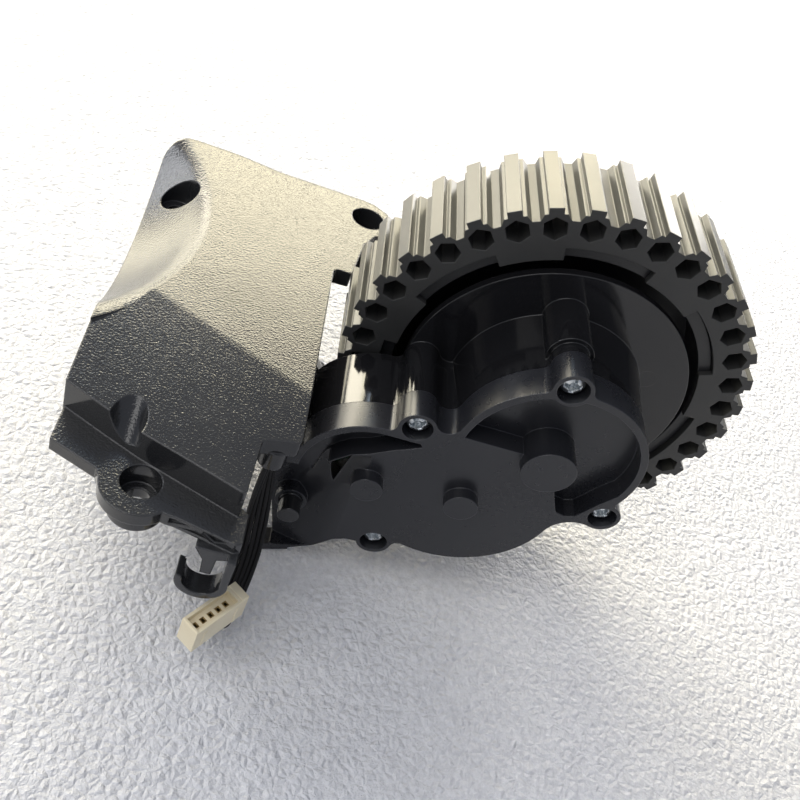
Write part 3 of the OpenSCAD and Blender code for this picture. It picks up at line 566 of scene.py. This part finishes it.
def cross_depth(x, y, head_r, head_h):
    """Depth of a tapered cross recess at a place on a screw head."""
    reach = RECESS_REACH * head_r
    arm = 0.0
    for a, b in ((x, y), (y, x)):
        along = ARM_SLOPE * (1 - abs(a) / reach)
        across = SIDE_SLOPE * (1 - abs(b) / (RECESS_HALF * head_r))
        arm = max(arm, min(along, across, 1.0))
    core = CORE_SLOPE * max(0.0, 1 - math.hypot(x, y) / (CORE_REACH * reach))
    return RECESS_DEPTH * head_h * max(ARM_FLOOR * arm, min(1.0, core))


def screw_mesh(centre, out, head_r, head_h, shank_r, shank_l, turn_deg, pitch):
    """Points and faces of a pan head screw. out is 1 where the head faces +Y and -1 where -Y."""
    verts, faces = [], []
    spin = math.radians(turn_deg)

    def put(x, z, h):
        verts.append(centre + Vector((x, out * h, z)))

    put(0, 0, head_h - cross_depth(0, 0, head_r, head_h))
    for i in range(1, HEAD_RINGS + 1):
        r = head_r * HEAD_FLAT * i / HEAD_RINGS
        dome = head_h * (1 - DOME_DROP * (i / HEAD_RINGS) ** DOME_POWER)
        for k in range(SPOKES):
            a = TAU * k / SPOKES
            x, z = r * math.cos(a), r * math.sin(a)
            u = math.cos(spin) * x + math.sin(spin) * z
            v = -math.sin(spin) * x + math.cos(spin) * z
            put(x, z, dome - cross_depth(u, v, head_r, head_h))
    for k in range(SPOKES):
        faces.append((0, 1 + k, 1 + (k + 1) % SPOKES))
    for i in range(HEAD_RINGS - 1):
        for k in range(SPOKES):
            a, b = 1 + i * SPOKES + k, 1 + i * SPOKES + (k + 1) % SPOKES
            faces.append((a, a + SPOKES, b + SPOKES, b))
    rows = [(head_r, RIM_TOP * head_h, 0.0), (head_r, RIM_FOOT * head_h, 0.0),
            (FOOT_R * head_r, 0.0, 0.0), (shank_r, 0.0, 0.0)]
    shank_rows = int(shank_l / pitch) * ROWS_PER_TURN
    for j in range(1, shank_rows):
        rows.append((shank_r, -shank_l * j / shank_rows, THREAD_DEPTH * shank_r))
    rows.append((shank_r * TIP, -shank_l, 0.0))
    last = 1 + (HEAD_RINGS - 1) * SPOKES
    for r, h, thread in rows:
        start = len(verts)
        for k in range(SPOKES):
            a = TAU * k / SPOKES
            wave = abs(((h / pitch + k / SPOKES) % 1.0) * 2 - 1)
            rr = r - thread * (1 - wave)
            put(rr * math.cos(a), rr * math.sin(a), h)
        for k in range(SPOKES):
            n = (k + 1) % SPOKES
            faces.append((last + k, start + k, start + n, last + n))
        last = start
    faces.append(tuple(last + k for k in range(SPOKES)))
    return verts, faces


# Place of each cover screw in X and Z, and how far its cross is turned
COVER_SCREWS = [(-21.8, -0.4, 35), (-3.4, 15.8, 8), (14.3, -9, 62), (-19.3, -30.6, 80)]
COVER_SEAT_Y, WASHER_Y = -15.4, 15.2
SCREW_SMOOTH = 40
cover_screws = joined([
    screw_mesh(at(x, COVER_SEAT_Y, z), -1, head_r=1.85 * MM, head_h=1.75 * MM, shank_r=1.0 * MM,
               shank_l=8.9 * MM, turn_deg=turned, pitch=0.8 * MM)
    for x, z, turned in COVER_SCREWS])
screws = piece("cover_screws", *cover_screws, zinc_mat, "zinc_steel", "drive_arm", SCREW_SMOOTH)
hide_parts("gearbox_screws")
hub_screw = screw_mesh(at(0, WASHER_Y, 0), 1, head_r=2.8 * MM, head_h=1.4 * MM, shank_r=1.12 * MM,
                       shank_l=6.2 * MM, turn_deg=20, pitch=0.7 * MM)
hub = piece("hub_screw", *hub_screw, zinc_mat, "zinc_steel", "drive_wheel", SCREW_SMOOTH)
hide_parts("wheel_screw")

# Suspension spring, in millimetres: round wire, close coils and a hook at each end
HORN = Vector((-42, -6, -12.8))
POST = Vector((-66, -6, -14.5))
COIL_R = 2.1
POST_HOOK, HORN_HOOK = 4.2, 5.6
TURNS, PER_TURN = 14, 28
HOOK_STEP = 9
SPRING_WIRE_R = 0.4 * MM
SPRING_RUN = (HORN - POST).length
COIL_LENGTH = SPRING_RUN - POST_HOOK - HORN_HOOK
spring_x = (HORN - POST).normalized()
spring_y = Vector((0, 1, 0))
spring_z = spring_x.cross(spring_y)
local = []
for degrees in range(50, 315, HOOK_STEP):
    a = math.radians(degrees)
    local.append((COIL_R * math.cos(a), 0.0, COIL_R * math.sin(a)))
for i in range(TURNS * PER_TURN + 1):
    a = math.pi + TAU * i / PER_TURN
    x = POST_HOOK + COIL_LENGTH * i / (TURNS * PER_TURN)
    local.append((x, COIL_R * math.sin(a), COIL_R * math.cos(a)))
for degrees in range(-165, 141, HOOK_STEP):
    a = math.radians(degrees)
    local.append((SPRING_RUN - COIL_R + COIL_R * math.cos(a), COIL_R * math.sin(a), 0.0))
wire = [at(*(POST + spring_x * x + spring_y * y + spring_z * z)) for x, y, z in local]
spring_parts = swept(wire, SPRING_WIRE_R, WIRE_SIDES)
spring = piece("spring_wire", *spring_parts, spring_mat, "spring_steel", "bracket")
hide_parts("suspension_spring")


def block(centre, size, chamfer):
    """Points and faces of a box with cut edges, in millimetres along the plug's directions."""
    verts, faces = [], []
    bm = bmesh.new()
    bmesh.ops.create_cube(bm, size=1.0)
    for v in bm.verts:
        v.co = Vector((v.co.x * size[0], v.co.y * size[1], v.co.z * size[2]))
    bmesh.ops.bevel(bm, geom=list(bm.edges), offset=chamfer, segments=2, profile=0.6,
                    affect="EDGES")
    bm.verts.index_update()
    for v in bm.verts:
        c = v.co + Vector(centre)
        verts.append(PLUG_AT + (PLUG_ALONG * c.x + PLUG_ACROSS * c.y + PLUG_UP * c.z) * MM)
    for f in bm.faces:
        faces.append(tuple(v.index for v in f.verts))
    bm.free()
    return verts, faces


# Latch block, key rib, two long ribs and two upright ribs on the plug: centre, size, chamfer
PLUG_BLOCKS = [
    ((4.55, 0, -0.05), (1.3, 3.3, 0.5), 0.1),
    ((-4.95, 0, -0.1), (0.45, 3.2, 0.4), 0.08),
    ((0, 1.62, -2.6), (7.6, 0.35, 0.8), 0.1),
    ((0, 1.62, -4.5), (7.6, 0.35, 0.8), 0.1),
    ((-3.2, -1.62, -3.4), (0.7, 0.4, 4.0), 0.1),
    ((3.2, -1.62, -3.4), (0.7, 0.4, 4.0), 0.1),
]
plug_parts = joined([block(*numbers) for numbers in PLUG_BLOCKS])
piece("plug_ribs", *plug_parts, plug_mat, "plug_plastic", "bracket")

# Floor, a pale foam sheet
FLOOR_Z = -41.2
HALF_FLOOR = 3.0
floor_z = at(0, 0, FLOOR_Z)[2]
corners = [(-1, -1), (1, -1), (1, 1), (-1, 1)]
floor_mesh = bpy.data.meshes.new("floor")
floor_mesh.from_pydata([(x * HALF_FLOOR, y * HALF_FLOOR, floor_z) for x, y in corners], [],
                       [(0, 1, 2, 3)])
floor_mesh.materials.append(foam())
floor = link(bpy.data.objects.new("floor", floor_mesh))

# Light: a cool surround, a warm window of four panels with a strip of sky, and four soft panels
SURROUND = (0.90, 0.96, 1.12, 1)
SURROUND_STRENGTH = 0.38
LIT_POINT = at(-20, 0, -10)
PANEL_AWAY = 1.1
OVERHEAD_AWAY = 1.5
world = bpy.data.worlds.new("studio")
world.use_nodes = True
background = world.node_tree.nodes["Background"]
background.inputs["Color"].default_value = SURROUND
background.inputs["Strength"].default_value = SURROUND_STRENGTH
bpy.context.scene.world = world


def panel(name, azimuth, elevation, wide, high, brightness, colour, distance=PANEL_AWAY):
    """A soft panel that faces the object. Its place and size are angles seen from the object."""
    a, e = math.radians(azimuth), math.radians(elevation)
    width = 2 * distance * math.tan(math.radians(wide / 2)) * math.cos(e)
    height = 2 * distance * math.tan(math.radians(high / 2))
    away = Vector((math.sin(a) * math.cos(e), math.cos(a) * math.cos(e), math.sin(e)))
    place = LIT_POINT + distance * away
    data = bpy.data.lights.new(name, "AREA")
    data.shape = "RECTANGLE"
    data.size = width
    data.size_y = height
    data.energy = brightness * math.pi * width * height
    data.color = colour
    obj = link(bpy.data.objects.new(name, data))
    obj.location = place
    obj.rotation_euler = (LIT_POINT - place).to_track_quat("-Z", "Y").to_euler()


# Azimuth, elevation, width and height in degrees, then brightness and colour
panel("window_far_left", -37, 28.5, 12, 16.5, 16.0, (1.0, 0.92, 0.74))
panel("window_left", -24, 29.5, 12.5, 17.5, 14.2, (1.0, 0.92, 0.70))
panel("window_middle", -9, 31.8, 15, 18, 12.6, (1.0, 0.90, 0.64))
panel("window_right", 6, 32.3, 14, 18, 12.6, (1.0, 0.91, 0.66))
panel("sky_strip", -20, 43, 26, 4, 4.0, (0.72, 0.86, 1.0))
panel("soft_left", -64, 28, 26, 16, 7.0, (0.95, 0.97, 1.0))
panel("low_left", -38, 9, 32, 18, 7.0, (1.0, 0.92, 0.70))
panel("soft_right", 27, 16, 24, 24, 10.0, (1.0, 0.95, 0.86))
panel("overhead", -125, 55, 60, 50, 2.55, (1.0, 0.985, 0.96), OVERHEAD_AWAY)

bpy.context.scene.view_settings.view_transform = "Standard"
